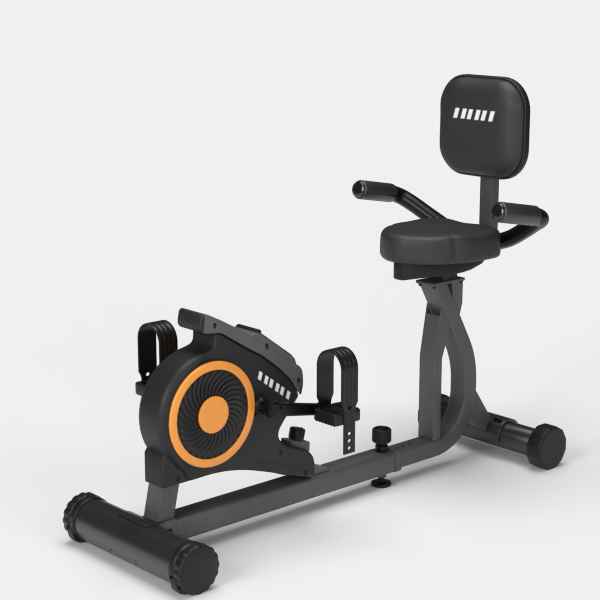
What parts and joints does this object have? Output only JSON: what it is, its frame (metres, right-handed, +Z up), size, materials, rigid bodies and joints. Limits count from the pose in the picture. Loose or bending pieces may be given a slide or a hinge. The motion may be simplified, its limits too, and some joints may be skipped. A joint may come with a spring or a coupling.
{
  "type": "recumbent exercise bike",
  "caption": "Recumbent exercise bike: magnetic drive in a round-fronted casing, sliding rail with pull-pin lock, padded seat and backrest, hand bar, and strapped pedals.",
  "frame": {"origin": "centre of the bounding box's footprint, on the floor", "axes": "+X towards the rear (the rider faces -X), +Y to the rider's right, +Z up"},
  "size_m": [1.258, 0.5252, 0.99],
  "materials": {
    "frame_coat": "satin dark grey powder coat",
    "gloss_coat": "semi-gloss black powder coat",
    "casing_plastic": "matte black moulded plastic, fine texture",
    "grey_plastic": "matte dark grey moulded plastic",
    "black_plastic": "satin black moulded plastic",
    "black_coat": "satin black paint",
    "rubber": "black rubber",
    "accent_plastic": "satin orange plastic",
    "steel": "zinc-plated steel",
    "cast_iron": "turned iron",
    "screen_glass": "clear display window over a dark screen",
    "leather": "black synthetic leather, fine grain",
    "foam": "closed-cell black foam",
    "plug_plastic": "polished black plastic"
  },
  "bodies": {
    "front_frame": {"front_stabilizer": "gloss_coat", "front_cap_left": "black_plastic", "front_cap_right": "black_plastic", "front_saddle": "frame_coat", "front_bolt_left": "steel", "front_bolt_right": "steel", "front_upright": "frame_coat", "main_rail": "frame_coat", "casing_left": "casing_plastic", "casing_right": "casing_plastic", "spine_cover": "grey_plastic", "monitor_housing": "black_plastic", "monitor_screen": "screen_glass", "ring_trim_left": "accent_plastic", "ring_trim_right": "accent_plastic", "side_disc_left": "casing_plastic", "side_disc_right": "casing_plastic", "badge_left": "accent_plastic", "badge_right": "accent_plastic", "bearing_cover_left": "casing_plastic", "bearing_cover_right": "casing_plastic", "tension_base": "grey_plastic", "casing_tab": "grey_plastic", "drive_frame": "steel", "drive_belt": "rubber"},
    "crank": {"crank_axle": "steel", "drive_pulley": "black_plastic", "crank_left": "black_coat", "crank_right": "black_coat"},
    "flywheel": {"flywheel": "cast_iron"},
    "pedal_left": {"pedal_left": "black_plastic", "strap_left": "rubber"},
    "pedal_right": {"pedal_right": "black_plastic", "strap_right": "rubber"},
    "wheel_left": {"transport_wheel_left": "rubber"},
    "wheel_right": {"transport_wheel_right": "rubber"},
    "lock_knob": {"lock_knob": "black_plastic"},
    "support_foot": {"support_foot": "rubber"},
    "tension_knob": {"tension_knob": "black_plastic"},
    "magnet_holder": {"magnet_holder": "steel"},
    "monitor_button": {"monitor_button": "grey_plastic"},
    "rear_frame": {"curved_tube": "frame_coat", "seat_post": "frame_coat", "seat_plate": "frame_coat", "rear_leg": "frame_coat", "rear_saddle": "frame_coat", "rear_stabilizer": "gloss_coat", "seat_pan": "black_plastic", "seat_cushion": "leather", "backrest_post": "frame_coat", "backrest_shell": "black_plastic", "backrest_cushion": "leather", "handlebar": "gloss_coat", "bar_clamp": "frame_coat", "grip_left": "foam", "grip_right": "foam", "grip_plug_left": "plug_plastic", "grip_plug_right": "plug_plastic"},
    "rear_cap_left": {"rear_cap_left": "black_plastic"},
    "rear_cap_right": {"rear_cap_right": "black_plastic"}
  },
  "joints": [
    {"name": "crank_spin", "type": "hinge", "parent": "front_frame", "child": "crank", "pos_m": [-0.264, 0, 0.304], "axis": [0, 1, 0], "continuous": true},
    {"name": "flywheel_spin", "type": "hinge", "parent": "front_frame", "child": "flywheel", "pos_m": [-0.404, 0, 0.313], "axis": [0, 1, 0], "continuous": true},
    {"name": "pedal_left_spin", "type": "hinge", "parent": "crank", "child": "pedal_left", "pos_m": [-0.11701, -0.137, 0.27409], "axis": [0, 1, 0], "continuous": true},
    {"name": "pedal_right_spin", "type": "hinge", "parent": "crank", "child": "pedal_right", "pos_m": [-0.41099, 0.137, 0.33391], "axis": [0, 1, 0], "continuous": true},
    {"name": "wheel_left_spin", "type": "hinge", "parent": "front_frame", "child": "wheel_left", "pos_m": [-0.598, -0.188, 0.031], "axis": [0, 1, 0], "continuous": true},
    {"name": "wheel_right_spin", "type": "hinge", "parent": "front_frame", "child": "wheel_right", "pos_m": [-0.598, 0.188, 0.031], "axis": [0, 1, 0], "continuous": true},
    {"name": "rear_frame_slide", "type": "slide", "parent": "front_frame", "child": "rear_frame", "axis": [1, 0, 0], "range_m": [-0.1, 0.05]},
    {"name": "lock_knob_pull", "type": "slide", "parent": "front_frame", "child": "lock_knob", "axis": [0, 0, 1], "range_m": [0, 0.012], "stiffness_N_per_m": 800, "springref_m": -0.004},
    {"name": "support_foot_turn", "type": "hinge", "parent": "front_frame", "child": "support_foot", "pos_m": [0.166, 0, 0.02], "axis": [0, 0, 1], "range_deg": [-180, 180]},
    {"name": "tension_knob_turn", "type": "hinge", "parent": "front_frame", "child": "tension_knob", "pos_m": [-0.119, 0, 0.181], "axis": [0.2334, 0, 0.9724], "range_deg": [0, 315]},
    {"name": "magnet_swing", "type": "hinge", "parent": "front_frame", "child": "magnet_holder", "pos_m": [-0.3189, -0.014, 0.2465], "axis": [0, -1, 0], "range_deg": [0, 8]},
    {"name": "monitor_button_press", "type": "slide", "parent": "front_frame", "child": "monitor_button", "axis": [-0.5872, 0, -0.8094], "range_m": [0, 0.002], "stiffness_N_per_m": 300},
    {"name": "rear_cap_left_turn", "type": "hinge", "parent": "rear_frame", "child": "rear_cap_left", "pos_m": [0.574, -0.19, 0.055], "axis": [0, 1, 0], "range_deg": [-180, 180]},
    {"name": "rear_cap_right_turn", "type": "hinge", "parent": "rear_frame", "child": "rear_cap_right", "pos_m": [0.574, 0.19, 0.055], "axis": [0, 1, 0], "range_deg": [-180, 180]}
  ],
  "couplings": [
    {"joint": "flywheel_spin", "follows": "crank_spin", "ratio": 3.125},
    {"joint": "magnet_swing", "follows": "tension_knob_turn", "ratio": 0.0254}
  ]
}
